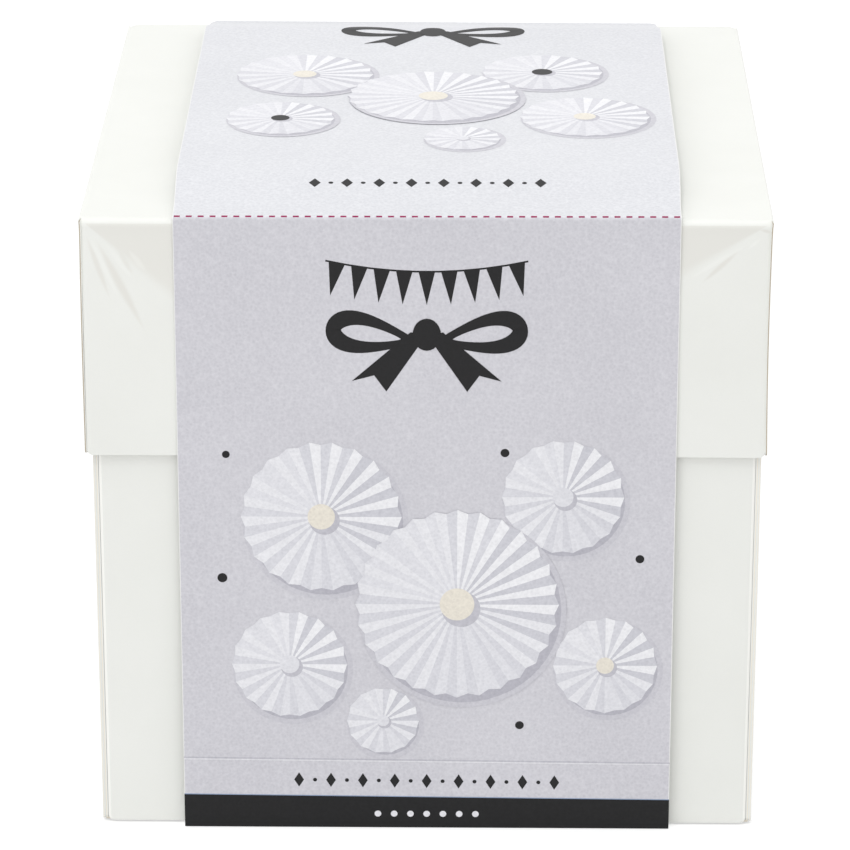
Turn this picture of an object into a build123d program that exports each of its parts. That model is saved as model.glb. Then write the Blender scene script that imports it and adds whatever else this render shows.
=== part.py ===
"""Explosion box: a card gift box whose four walls fall open when its deep lid is lifted.

Units are millimetres. The origin is at the middle of the footprint on the table, +Z is up
and the front of the box faces -Y. The model is in its closed state, with the paper band on.

Every piece of the front side is modelled upright, and the right, back and left sides are the
same pieces turned about the vertical axis, so the four corner hearts follow one another like
the vanes of a pinwheel.
"""

from build123d import *
from math import sqrt
import os

# Card and paper
card = 0.4  # sheet of folding card
band_paper = 0.3  # sheet of the paper band
lay_gap = 0.1  # air between two sheets that lie on each other
crease_gap = 0.15  # air between the two sides of a crease

# Box body
box_width = 120.0  # outside of the upright walls, the same both ways
wall_height = 117.3  # from the underside of the base to the tops of the walls
end_wall_inset = 1.0  # how far the front and back walls stop short of the side walls' outsides
wall_corner_radius = 1.5

# Pockets and their cards
pocket_count = 3
pocket_gap = 0.6  # room for one card behind each pocket sheet
pocket_foot = 1.5  # lowest pocket edge above the wall's fold
pocket_rim = 3.0  # width of the glued strip along three sides of a pocket
first_pocket_height = 104.0  # of the outermost pocket sheet
pocket_step = 4.0  # each further pocket sheet is this much lower
pocket_corner_radius = 3.0
notch_width = 28.0
notch_depth = 5.0
corner_clearance = 1.4  # between the pocket stacks of two neighbouring walls
insert_play = 0.5  # between a pull-out card and the pocket's glued strips
first_insert_height = 108.0  # of the outermost pull-out card
insert_step = 3.0  # each further pull-out card is this much lower
insert_corner_radius = 5.0
scallop_count = 7
tag_clip = 20.0  # clipped corners of the tag card
tag_hole_diameter = 6.0
tag_hole_drop = 9.0  # hole's centre below the tag's top edge

# Heart gussets in the corners
heart_side = 76.0  # glued edge of a half heart, up to where its lobe starts
heart_tip_start = 7.0  # the heart is cut off this far from its point
heart_wall_clearance = 1.2  # between the free half and the neighbouring wall sheet

# Lid
lid_clearance = 0.6  # between the body's walls and the lid's skirts, all round
lid_skirt = 44.6  # depth of the lid's skirts, from its top face
lid_corner_radius = 2.6
lid_slit = 0.15  # between the edges of two neighbouring skirts
lid_fold_radius = 0.3
lid_tab = 15.0  # width of the glue tabs behind the front and back skirts
lid_tab_taper = 4.0

# Gift box inside
gift_width = 70.0  # over its lid
gift_height = 75.0  # with its lid on
gift_skirt = 25.0
gift_clearance = 0.3  # between the gift box and its lid's skirts
gift_corner_radius = 0.8

# Paper band round the closed box
band_width = 89.4
band_clearance = 0.1  # between the band and the lid

# Places that follow from the sizes
box_half = box_width / 2
base_bottom = band_paper + lay_gap
base_top = base_bottom + card
fold_height = base_bottom + card / 2
fold_reach = box_half - card / 2
wall_top = base_bottom + wall_height
layer = pocket_gap + card
stack_depth = card + pocket_count * layer
pocket_half = box_half - stack_depth - corner_clearance
pocket_bottom = fold_height + pocket_foot
insert_half = pocket_half - pocket_rim - insert_play
insert_bottom = pocket_bottom + pocket_rim + insert_play

heart_point = fold_height - (fold_reach - pocket_half)
heart_fold_depth = stack_depth + crease_gap / 2
heart_gap = crease_gap / 2
heart_crease_depth = heart_fold_depth + heart_gap + card + heart_gap

lid_under = wall_top + lay_gap
lid_top = lid_under + card
lid_half = box_half + lid_clearance + card
lid_inside = lid_half - card
skirt_bottom = lid_top - lid_skirt

gift_half = gift_width / 2
gift_body_half = gift_half - card - gift_clearance
gift_top = base_top + gift_height

band_half = band_width / 2
band_inside = lid_half + band_clearance
band_fold_reach = band_inside + band_paper / 2
band_top_under = lid_top + lay_gap

quarter_turn = 90.0
side_names = ["front", "right", "back", "left"]
overrun = 1.0  # how far a cut runs past the piece


def turned(piece, turns):
    """Turn a piece of the front side about the box's upright axis, by quarter turns."""
    return Rot(0, 0, quarter_turn * turns) * piece


def upright(outline, depth, thickness):
    """Extrude an outline drawn in X and Z, with its outer face this deep inside the box."""
    inner_face = Plane.XZ.offset(box_half - depth - thickness)
    return extrude(inner_face * outline, amount=thickness)


def sheet_outline(half_width, bottom, top, radius):
    """Rectangle with rounded corners, given by its edges."""
    centre = Pos(0, (bottom + top) / 2)
    return centre * RectangleRounded(2 * half_width, top - bottom, radius)


def folded_edge(half_length, reach, height, thickness):
    """Half-round lower edge of a sheet, which is where its crease bends."""
    along_x = Pos(0, -reach, height) * Rot(0, quarter_turn, 0)
    return along_x * Cylinder(thickness / 2, 2 * half_length)


def hollow_box(half_width, bottom, top, radius, opens_up):
    """Card box with one open end."""
    height = top - bottom
    outside = extrude(Pos(0, 0, bottom) * RectangleRounded(2 * half_width, 2 * half_width, radius), height)
    inner_half = half_width - card
    floor = bottom + card if opens_up else bottom - overrun
    room = Pos(0, 0, floor) * Rectangle(2 * inner_half, 2 * inner_half)
    return outside - extrude(room, height - card + overrun)


def base_panel():
    """Square floor of the box."""
    half = fold_reach - card / 2 - crease_gap
    return extrude(Pos(0, 0, base_bottom) * Rectangle(2 * half, 2 * half), card)


def wall_sheet(half_width):
    """Outer sheet of one wall, upright, with its fold at the base."""
    outline = sheet_outline(half_width, fold_height, wall_top, wall_corner_radius)
    sheet = upright(outline, 0, card)
    edge = folded_edge(half_width - wall_corner_radius, fold_reach, fold_height, card)
    return sheet + edge


def pocket_sheet(number):
    """One of the sheets glued on a wall along three sides, with a thumb notch at its mouth."""
    top = pocket_bottom + first_pocket_height - (number - 1) * pocket_step
    inner_face = card + number * layer
    outline = sheet_outline(pocket_half, pocket_bottom, top, pocket_corner_radius)
    notch_radius = (notch_width**2 / 4 + notch_depth**2) / (2 * notch_depth)
    notch = Pos(0, top - notch_depth + notch_radius) * Circle(notch_radius)
    sheet = upright(outline - notch, inner_face - card, card)
    mouth_half = pocket_half - pocket_rim
    mouth = Pos(0, pocket_bottom + pocket_rim + top) * Rectangle(2 * mouth_half, 2 * top)
    glued_strip = upright(outline - mouth, inner_face - layer, pocket_gap)
    return sheet + glued_strip


def insert_outline(number):
    """Outline of a pull-out card: rounded, scalloped, or a tag with a hole."""
    top = insert_bottom + first_insert_height - (number - 1) * insert_step
    if number == 1:
        return sheet_outline(insert_half, insert_bottom, top, insert_corner_radius)
    if number == 2:
        scallop = insert_half / scallop_count
        shoulder = top - scallop
        centres = [Pos((2 * i + 1) * scallop - insert_half, shoulder) for i in range(scallop_count)]
        lower = Pos(0, (insert_bottom + shoulder) / 2)
        outline = lower * Rectangle(2 * insert_half, shoulder - insert_bottom)
        for centre in centres:
            outline += centre * Circle(scallop)
        return outline
    tag = make_face(
        Polyline(
            (-insert_half, insert_bottom),
            (insert_half, insert_bottom),
            (insert_half, top - tag_clip),
            (insert_half - tag_clip, top),
            (tag_clip - insert_half, top),
            (-insert_half, top - tag_clip),
            close=True,
        )
    )
    return tag - Pos(0, top - tag_hole_drop) * Circle(tag_hole_diameter / 2)


def pull_out_card(number):
    """One of the loose cards, in its pocket."""
    air = (pocket_gap - card) / 2
    outer_face = card + (number - 1) * layer + air
    return upright(insert_outline(number), outer_face, card)


def heart_half(edge_trim, outer_depth):
    """Half of a corner heart, folded flat over its wall.

    The half is a right-angled triangle with a round lobe on its far side. One short side lies
    along the pocket stack's edge and the long side is the heart's crease.
    """
    corners = [(0, 0), (0, heart_side), (heart_side, heart_side)]
    triangle = make_face(Polyline(*corners, close=True))
    lobe = Pos(heart_side / 2, heart_side) * Circle(heart_side / 2)
    crease_trim = heart_gap * sqrt(2)
    far = 2 * heart_side
    kept_corners = [
        (edge_trim, heart_tip_start),
        (heart_tip_start - crease_trim, heart_tip_start),
        (far - crease_trim, far),
        (edge_trim, far),
    ]
    kept = make_face(Polyline(*kept_corners, close=True))
    outline = Pos(-pocket_half, heart_point) * ((triangle + lobe) & kept)
    return upright(outline, outer_depth, card)


def glued_heart_half():
    """Half heart that is creased along the innermost pocket sheet."""
    return heart_half(heart_gap, heart_fold_depth + heart_gap)


def free_heart_half():
    """Half heart that folds onto the glued half and reaches to the neighbouring wall."""
    margin = box_half - pocket_half + heart_wall_clearance
    return heart_half(margin, heart_crease_depth + heart_gap)


def lid_skirt_sheet(half_width, turns):
    """One hanging side of the lid, with rounded lower corners."""
    outline = sheet_outline(half_width, skirt_bottom, lid_top, lid_corner_radius)
    square_top = Pos(0, lid_under) * Rectangle(2 * half_width, 2 * card)
    below_top = Pos(0, lid_under - lid_skirt) * Rectangle(2 * half_width, 2 * lid_skirt)
    outline = (outline + square_top) & below_top
    return turned(upright(outline, box_half - lid_half, card), turns)


def lid_glue_tab(turns, mirrored):
    """Tab of a side skirt, folded in behind the front or back skirt."""
    outer = lid_inside
    inner = lid_inside - lid_tab
    shape = Polyline(
        (outer, lid_under),
        (inner, lid_under),
        (inner, skirt_bottom + 2 * lid_tab_taper),
        (outer, skirt_bottom + lid_tab_taper),
        close=True,
    )
    tab = upright(make_face(shape), box_half - lid_inside, card)
    if mirrored:
        tab = mirror(tab, about=Plane.YZ)
    return turned(tab, turns)


def lid():
    """Deep lid, folded from one sheet and glued at its corners."""
    outline = Pos(0, 0, lid_under) * Rectangle(2 * lid_half, 2 * lid_half)
    top = extrude(outline, card)
    top = fillet(top.faces().sort_by(Axis.Z)[-1].edges(), lid_fold_radius)
    for turns in range(len(side_names)):
        on_end = turns % 2 == 0
        half_width = lid_inside - lid_slit if on_end else lid_half
        top += lid_skirt_sheet(half_width, turns)
        if on_end:
            top += lid_glue_tab(turns, False)
            top += lid_glue_tab(turns, True)
    return top


def gift_box():
    """Small box that is glued on the middle of the base."""
    rim = gift_top - card - lay_gap
    return hollow_box(gift_body_half, base_top, rim, gift_corner_radius, True)


def gift_lid():
    """Lid of the small box."""
    return hollow_box(gift_half, gift_top - gift_skirt, gift_top, gift_corner_radius, False)


def band_bottom_panel():
    """Part of the band under the box, which the whole object stands on."""
    reach = band_inside - lay_gap
    return extrude(Rectangle(band_width, 2 * reach), band_paper)


def band_upright_panel():
    """Part of the band in front of the box, up to the perforated crease at the lid's edge."""
    bottom = band_paper / 2
    middle = Pos(0, (bottom + lid_top) / 2)
    outline = middle * Rectangle(band_width, lid_top - bottom)
    outer_face = box_half - band_inside - band_paper
    panel = upright(outline, outer_face, band_paper)
    return panel + folded_edge(band_half, band_fold_reach, bottom, band_paper)


def band_top_panel():
    """Part of the band over the lid."""
    reach = band_inside + band_paper
    return extrude(Pos(0, 0, band_top_under) * Rectangle(band_width, 2 * reach), band_paper)


def all_parts():
    """Every piece of the box by name."""
    parts = {
        "base_panel": base_panel(),
        "gift_box": gift_box(),
        "gift_lid": gift_lid(),
        "lid": lid(),
        "band_bottom": band_bottom_panel(),
        "band_front": band_upright_panel(),
        "band_back": turned(band_upright_panel(), 2),
        "band_top": band_top_panel(),
    }
    for turns, side in enumerate(side_names):
        on_end = turns % 2 == 0
        half_width = box_half - end_wall_inset if on_end else box_half
        parts[f"wall_{side}"] = turned(wall_sheet(half_width), turns)
        for number in range(1, pocket_count + 1):
            parts[f"pocket_{side}_{number}"] = turned(pocket_sheet(number), turns)
            parts[f"card_{side}_{number}"] = turned(pull_out_card(number), turns)
        parts[f"heart_{side}_glued"] = turned(glued_heart_half(), turns)
        parts[f"heart_{side}_free"] = turned(free_heart_half(), turns)
    return parts


if __name__ == "__main__":
    os.makedirs("parts", exist_ok=True)
    for name, piece in all_parts().items():
        piece.label = name
        export_step(piece, f"parts/{name}.step")
    print("lid top", round(lid_top, 3), "overall height", round(band_top_under + band_paper, 3))
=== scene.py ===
"""Looks of the closed card gift box: folded card, a printed paper band and plain studio light.

Lengths are written in millimetres and multiplied by MM where Blender's metres are needed.
The front of the box faces -Y, as in the fixed frame that the script loads first.
"""

import logging
import math
from collections.abc import Callable, Iterable
from dataclasses import dataclass, field
from enum import Enum
from typing import ClassVar

import bmesh
import bpy
from mathutils import Matrix, Vector


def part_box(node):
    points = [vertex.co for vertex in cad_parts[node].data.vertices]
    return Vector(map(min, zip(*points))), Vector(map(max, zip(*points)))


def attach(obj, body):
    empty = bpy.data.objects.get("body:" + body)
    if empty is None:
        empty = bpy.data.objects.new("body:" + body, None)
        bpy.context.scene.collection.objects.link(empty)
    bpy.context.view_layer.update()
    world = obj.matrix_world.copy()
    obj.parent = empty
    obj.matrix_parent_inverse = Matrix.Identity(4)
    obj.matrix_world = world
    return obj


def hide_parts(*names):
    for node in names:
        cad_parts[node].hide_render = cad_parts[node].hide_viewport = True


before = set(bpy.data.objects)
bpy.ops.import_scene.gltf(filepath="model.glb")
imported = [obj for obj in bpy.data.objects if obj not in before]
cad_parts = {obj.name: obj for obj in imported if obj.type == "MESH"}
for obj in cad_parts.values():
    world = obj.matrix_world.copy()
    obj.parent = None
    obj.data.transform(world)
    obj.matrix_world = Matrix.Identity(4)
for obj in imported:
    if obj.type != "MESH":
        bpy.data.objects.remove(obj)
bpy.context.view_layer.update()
MM = 0.001
QUARTER = math.pi / 2
ACROSS = Vector((1, 0, 0))
ALONG = Vector((0, 1, 0))
UP = Vector((0, 0, 1))
FORWARD = Vector((0, -1, 0))
SHARP_ANGLE = math.radians(40)
CORNER_STEPS = 6
CORE_CUTS = 2
CUT_SNAP = 1e-7
TOUCH = 1e-6
PAST_FOLD = 1.00001
HAIR = 0.01
SURFACE, CORE, ACCENT = range(3)
log = logging.getLogger("explosion_box")

Colour = tuple[float, float, float]
Place = tuple[float, float, float]
CreaseRow = tuple[tuple[float, float], tuple[float, float], float, float]
RosetteRow = tuple[float, float, float, int, int, str]
DotRow = tuple[float, float, float]


def from_display(red: int, green: int, blue: int) -> Colour:
    """Turn a display colour of 0 to 255 into the linear colour that shaders use.

    Args:
        red: Red channel as seen on the display.
        green: Green channel.
        blue: Blue channel.

    Returns:
        The linear colour.
    """
    toe_end, toe_slope, offset, power = 0.04045, 12.92, 0.055, 2.4
    shares = [channel / 255 for channel in (red, green, blue)]
    curved = [((share + offset) / (1 + offset)) ** power for share in shares]
    return tuple(share / toe_slope if share <= toe_end else curve for share, curve in zip(shares, curved))


def with_alpha(colour: Colour) -> tuple[float, float, float, float]:
    """Add full opacity to a colour."""
    return (*colour, 1.0)


class Side(Enum):
    """The four sides, as quarter turns from the front about the upright axis."""

    FRONT = 0
    RIGHT = 1
    BACK = 2
    LEFT = 3

    @property
    def label(self) -> str:
        """Side's name in lower case, as the frame's nodes use it."""
        return self.name.lower()

    @property
    def turn(self) -> Matrix:
        """Rotation that carries a piece of the front side to this side."""
        return Matrix.Rotation(self.value * QUARTER, 4, "Z")

    @property
    def outward(self) -> Vector:
        """Direction that this side faces."""
        return self.turn @ FORWARD

    @property
    def along(self) -> Vector:
        """Level direction in the plane of this side."""
        return self.outward.cross(UP)

    @property
    def is_end(self) -> bool:
        """Whether this is the front or the back, which fit between the other two sides."""
        return self in (Side.FRONT, Side.BACK)


@dataclass
class NodeSheet:
    """A node tree that is filled from left to right."""

    tree: bpy.types.NodeTree
    column: float = 0.0
    step: float = 200.0

    def feed(self, target: bpy.types.NodeSocket, value: object) -> None:
        """Link an input to another node's socket, or set its own value.

        Args:
            target: Input of a node.
            value: Socket that it reads, or a plain value.
        """
        if isinstance(value, bpy.types.NodeSocket):
            self.tree.links.new(value, target)
        else:
            target.default_value = value

    def add(self, kind: str, *values: object, **settings: object) -> bpy.types.Node:
        """Add a node, set its properties and feed its inputs.

        Args:
            kind: Blender's node type name.
            values: Sockets or plain values for its first inputs, in their order.
            settings: Node properties, or what feeds an input under the input's name with
                spaces written as underscores.

        Returns:
            The new node.
        """
        node = self.tree.nodes.new(kind)
        node.location = (self.column, 0)
        self.column += self.step
        for name, value in settings.items():
            if hasattr(node, name):
                setattr(node, name, value)
            else:
                self.feed(node.inputs[name.replace("_", " ")], value)
        for target, value in zip(node.inputs, values):
            self.feed(target, value)
        return node

    def maths(self, operation: str, *values: object) -> bpy.types.NodeSocket:
        """Add a Math node and return its result."""
        return self.add("ShaderNodeMath", *values, operation=operation).outputs[0]

    def vector(self, operation: str, *values: object, **settings: object) -> bpy.types.NodeOutputs:
        """Add a Vector Math node and return its outputs."""
        return self.add("ShaderNodeVectorMath", *values, operation=operation, **settings).outputs

    def remap(
        self, value: bpy.types.NodeSocket, low: float, high: float, kind: str = "LINEAR"
    ) -> bpy.types.NodeSocket:
        """Spread a range of values over 0 to 1.

        Args:
            value: Value to spread.
            low: Value that becomes 0.
            high: Value that becomes 1.
            kind: Interpolation.

        Returns:
            The spread value.
        """
        node = self.add(
            "ShaderNodeMapRange",
            Value=value,
            From_Min=low,
            From_Max=high,
            interpolation_type=kind,
        )
        return node.outputs[0]

    def mix(self, factor: bpy.types.NodeSocket, low: object, high: object) -> bpy.types.NodeSocket:
        """Mix two colours.

        Args:
            factor: Share of the second colour.
            low: First colour, plain or a socket.
            high: Second colour.

        Returns:
            The mixed colour.
        """
        first_input, second_input, colour_output = 6, 7, 2
        node = self.add("ShaderNodeMix", factor, data_type="RGBA")
        for number, colour in ((first_input, low), (second_input, high)):
            plain = isinstance(colour, tuple)
            self.feed(node.inputs[number], with_alpha(colour) if plain else colour)
        return node.outputs[colour_output]

    def bump(
        self,
        height: bpy.types.NodeSocket,
        strength: float,
        distance: float,
        under: bpy.types.NodeSocket | None = None,
    ) -> bpy.types.NodeSocket:
        """Add relief, over another relief where there is one.

        Args:
            height: Height of the surface.
            strength: Strength of the effect.
            distance: Depth in millimetres.
            under: Normal of the relief below.

        Returns:
            The new normal.
        """
        node = self.add("ShaderNodeBump", Strength=strength, Distance=distance * MM, Height=height)
        if under is not None:
            self.feed(node.inputs["Normal"], under)
        return node.outputs["Normal"]

    def group(
        self, tree: bpy.types.NodeTree, spot: bpy.types.NodeSocket, **values: object
    ) -> bpy.types.NodeOutputs:
        """Place a node group, fed by a coordinate, with its own values, and return its outputs."""
        return self.add("ShaderNodeGroup", spot, node_tree=tree, **values).outputs

    def close_group(self, **results: bpy.types.NodeSocket) -> bpy.types.NodeTree:
        """Join a group's results to its outputs and return its tree."""
        self.add("NodeGroupOutput", **results)
        return self.tree


def start_group(
    name: str, outputs: Iterable[str], **inputs: object
) -> tuple[NodeSheet, bpy.types.NodeOutputs]:
    """Start a shader node group with named sockets.

    Args:
        name: Group's name.
        outputs: Names of the values that it gives.
        inputs: What an input has where nothing feeds it, by its name with spaces written as
            underscores: a number, or a direction or None for a vector.

    Returns:
        The group's node sheet, and what the group is given.
    """
    tree = bpy.data.node_groups.new(name, "ShaderNodeTree")
    for label, value in inputs.items():
        kind = "NodeSocketFloat" if isinstance(value, float) else "NodeSocketVector"
        socket = tree.interface.new_socket(name=label.replace("_", " "), in_out="INPUT", socket_type=kind)
        if value is not None:
            socket.default_value = value
    for label in outputs:
        tree.interface.new_socket(name=label, in_out="OUTPUT", socket_type="NodeSocketFloat")
    sheet = NodeSheet(tree)
    return sheet, sheet.add("NodeGroupInput").outputs


class Effects:
    """Shader effects that several finishes share, each built once."""

    def __init__(self) -> None:
        """Build the groups."""
        self.fibre = self.build_fibre()
        self.speckle = self.build_speckle()
        self.wedge = self.build_wedge()
        self.crease = self.build_crease()
        self.cut_edge = self.build_cut_edge()

    @staticmethod
    def build_fibre() -> bpy.types.NodeTree:
        """Make paper fibre: soft mottling for the tone and fine matted threads for the relief.

        Returns:
            The group.
        """
        noise_middle, grain_share = 0.5, 0.35
        sheet, given = start_group(
            "paper_fibre",
            ("Tone", "Height"),
            Vector=None,
            Fibre_Scale=2600.0,
            Mottle_Scale=60.0,
            Mottle_Amount=0.5,
        )
        mottle = sheet.add("ShaderNodeTexNoise", Scale=given["Mottle Scale"], Detail=3.0, Roughness=0.55)
        threads = sheet.add(
            "ShaderNodeTexNoise", Scale=given["Fibre Scale"], Detail=4.0, Roughness=0.7, Distortion=1.2
        )
        for noise in (mottle, threads):
            sheet.feed(noise.inputs["Vector"], given["Vector"])
        lean = sheet.maths("SUBTRACT", mottle.outputs[0], noise_middle)
        tone = sheet.maths("MULTIPLY", lean, given["Mottle Amount"])
        height = threads.outputs[0]
        grain = sheet.maths("MULTIPLY", sheet.maths("SUBTRACT", height, noise_middle), grain_share)
        return sheet.close_group(Tone=sheet.maths("ADD", tone, grain), Height=height)

    @staticmethod
    def build_speckle() -> bpy.types.NodeTree:
        """Make the fine speckle of a printed tint: ink dots that vary a little in strength.

        Returns:
            The group.
        """
        dot_share, cloud_scale, middle = 0.6, 2300.0, 0.78
        sheet, given = start_group("print_speckle", ("Tone",), Vector=None, Dot_Scale=1500.0)
        spot = given["Vector"]
        dots = sheet.add("ShaderNodeTexVoronoi", feature="F1", Vector=spot, Scale=given["Dot Scale"])
        cloud = sheet.add("ShaderNodeTexNoise", Vector=spot, Scale=cloud_scale, Detail=2.0, Roughness=0.6)
        strength = sheet.maths("MULTIPLY", dots.outputs["Distance"], dot_share)
        both = sheet.maths("ADD", strength, cloud.outputs[0])
        return sheet.close_group(Tone=sheet.maths("SUBTRACT", both, middle))

    @staticmethod
    def build_wedge() -> bpy.types.NodeTree:
        """Make the mask of a painted shade: a darker wedge below a sheet's fold, next to a corner.

        Returns:
            The group.
        """
        fade_start, edge_blur, fold_depth = 0.45, 0.07, 0.0008
        sheet, given = start_group(
            "corner_painted_shade", ("Shade",), Vector=None, Corner=None, Reach=0.03, Angle=0.6
        )
        away = sheet.vector("SUBTRACT", given["Vector"], given["Corner"])[0]
        parts = sheet.add("ShaderNodeSeparateXYZ", away).outputs
        near = sheet.maths("DIVIDE", sheet.vector("LENGTH", away)["Value"], given["Reach"])
        fade = sheet.maths("SUBTRACT", 1.0, sheet.remap(near, fade_start, 1.0, "SMOOTHERSTEP"))
        drop, run = (sheet.maths("ABSOLUTE", parts[axis]) for axis in "ZX")
        slope = sheet.maths("SUBTRACT", sheet.maths("ARCTAN2", drop, run), given["Angle"])
        flat = sheet.maths("SUBTRACT", 1.0, sheet.remap(slope, -edge_blur, edge_blur, "SMOOTHSTEP"))
        below = sheet.maths("LESS_THAN", parts["Z"], -fold_depth)
        return sheet.close_group(Shade=sheet.maths("MULTIPLY", sheet.maths("MULTIPLY", flat, fade), below))

    @staticmethod
    def build_crease() -> bpy.types.NodeTree:
        """Make one soft crease: a slim spindle about a straight line.

        Returns:
            The group.
        """
        full_ridge = 0.8
        sheet, given = start_group(
            "soft_crease", ("Mask",), Vector=None, Start=None, Direction=None, Length=0.01, Width=0.001
        )
        away = sheet.vector("SUBTRACT", given["Vector"], given["Start"])[0]
        run = sheet.vector("DOT_PRODUCT", away, given["Direction"])["Value"]
        foot = sheet.vector("SCALE", given["Direction"], Scale=run)[0]
        aside = sheet.vector("DISTANCE", away, foot)["Value"]
        share = sheet.maths("DIVIDE", run, given["Length"])
        ends = sheet.maths("POWER", sheet.maths("MULTIPLY_ADD", share, 2.0, -1.0), 2.0)
        breadth = sheet.maths("DIVIDE", aside, given["Width"])
        ridge = sheet.maths("SUBTRACT", 1.0, sheet.maths("ADD", ends, breadth))
        return sheet.close_group(Mask=sheet.remap(ridge, 0.0, full_ridge, "SMOOTHSTEP"))

    @staticmethod
    def build_cut_edge() -> bpy.types.NodeTree:
        """Make the mask of a sheet's cut edges: where it doesn't face along its normal.

        Returns:
            The group.
        """
        least_facing = 0.5
        sheet, given = start_group("cut_edge_mask", ("Mask",), Normal=None, Sheet_Normal=(0.0, 1.0, 0.0))
        facing = sheet.vector("DOT_PRODUCT", given["Normal"], given["Sheet Normal"])["Value"]
        square = sheet.maths("ABSOLUTE", facing)
        return sheet.close_group(Mask=sheet.maths("LESS_THAN", square, least_facing))


@dataclass
class BlankMaterial:
    """Node-based material that a finish fills in."""

    name: str
    material: bpy.types.Material = field(init=False)
    sheet: NodeSheet = field(init=False)
    spot: bpy.types.Node = field(init=False)

    def __post_init__(self) -> None:
        """Start the material with its coordinates."""
        self.material = bpy.data.materials.new(self.name)
        self.material.use_nodes = True
        self.material.node_tree.nodes.clear()
        self.sheet = NodeSheet(self.material.node_tree)
        self.spot = self.sheet.add("ShaderNodeTexCoord")

    def close(self, surface: bpy.types.NodeSocket) -> bpy.types.Material:
        """Join a shader to the output and return the material."""
        self.sheet.add("ShaderNodeOutputMaterial", Surface=surface)
        return self.material

    def close_paper(
        self, colour: bpy.types.NodeSocket, normal: bpy.types.NodeSocket, roughness: float, specular: float
    ) -> bpy.types.Material:
        """Join colour and relief to a paper surface and return the material.

        Args:
            colour: Colour of the surface.
            normal: Normal with its relief.
            roughness: Roughness of the surface.
            specular: Strength of its gloss.

        Returns:
            The finished material.
        """
        shader = self.sheet.add(
            "ShaderNodeBsdfPrincipled",
            Base_Color=colour,
            Roughness=roughness,
            Specular_IOR_Level=specular,
            Normal=normal,
        )
        return self.close(shader.outputs[0])


@dataclass(frozen=True)
class Crease:
    """Soft crease in a sheet, with a painted highlight along it where its strength is above 0 and a painted
    shade where it is below; lengths in millimetres.
    """

    start: Place
    end: Place
    width: float
    strength: float

    def add_to(self, sheet: NodeSheet, effects: Effects, spot: bpy.types.NodeSocket) -> bpy.types.NodeSocket:
        """Place the crease in a material.

        Args:
            sheet: Material's node sheet.
            effects: Shared node groups.
            spot: Coordinate that it reads.

        Returns:
            The crease's mask.
        """
        line = Vector(self.end) - Vector(self.start)
        outputs = sheet.group(
            effects.crease,
            spot,
            Start=tuple(Vector(self.start) * MM),
            Direction=tuple(line.normalized()),
            Length=line.length * MM,
            Width=self.width * MM,
        )
        return outputs["Mask"]


@dataclass(frozen=True)
class Pucker:
    """Painted shade in a wedge, and creases with painted highlights and shades, next to one corner of a
    sheet.
    """

    corner: Place
    angle: float
    reach: float
    creases: tuple[Crease, ...]


@dataclass(frozen=True)
class CardFinish:
    """Uncoated folding card, or its cut edge; depths in millimetres."""

    name: str
    colour: Colour
    shaded: Colour
    roughness: float = 0.62
    specular: float = 0.3
    relief: float = 0.12
    relief_depth: float = 0.02
    mottle: float = 0.5
    tone_range: float = 0.35
    edge_colour: Colour | None = None
    sheet_normal: Place | None = None
    puckers: tuple[Pucker, ...] = ()
    # The puckers' colours: a painted shade in the corner wedges and along the darker creases, a painted
    # highlight along the lighter creases.
    wedge_shade_strength: float = 0.8
    crease_relief: float = 0.3
    crease_depth: float = 0.05
    raised: Colour = from_display(249, 250, 246)
    painted_shade: Colour = from_display(229, 228, 222)

    def build(self, effects: Effects) -> bpy.types.Material:
        """Make the material.

        Args:
            effects: Shared node groups.

        Returns:
            The finished material.
        """
        blank = BlankMaterial(self.name)
        sheet = blank.sheet
        spot = blank.spot.outputs["Object"]
        fibre = sheet.group(effects.fibre, spot, Mottle_Amount=self.mottle)
        tone = sheet.remap(fibre["Tone"], -self.tone_range, self.tone_range)
        colour = sheet.mix(tone, self.shaded, self.colour)
        if self.sheet_normal and self.edge_colour:
            edge = sheet.group(effects.cut_edge, blank.spot.outputs["Normal"], Sheet_Normal=self.sheet_normal)
            colour = sheet.mix(edge["Mask"], colour, self.edge_colour)
        normal = sheet.bump(fibre["Height"], self.relief, self.relief_depth)
        # Puckers paint shade in a wedge below the fold; their creases paint a highlight where their strength
        # is above 0 and a shade where it is below, over their relief.
        for pucker in self.puckers:
            corner = tuple(Vector(pucker.corner) * MM)
            reach = pucker.reach * MM
            wedge = sheet.group(effects.wedge, spot, Corner=corner, Reach=reach, Angle=pucker.angle)
            amount = sheet.maths("MULTIPLY", wedge["Shade"], self.wedge_shade_strength)
            colour = sheet.mix(amount, colour, self.painted_shade)
            for crease in pucker.creases:
                mask = crease.add_to(sheet, effects, spot)
                tint = self.raised if crease.strength > 0 else self.painted_shade
                amount = sheet.maths("MULTIPLY", mask, abs(crease.strength))
                colour = sheet.mix(amount, colour, tint)
                depth = math.copysign(self.crease_depth, crease.strength)
                normal = sheet.bump(mask, self.crease_relief, depth, normal)
        return blank.close_paper(colour, normal, self.roughness, self.specular)


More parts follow.
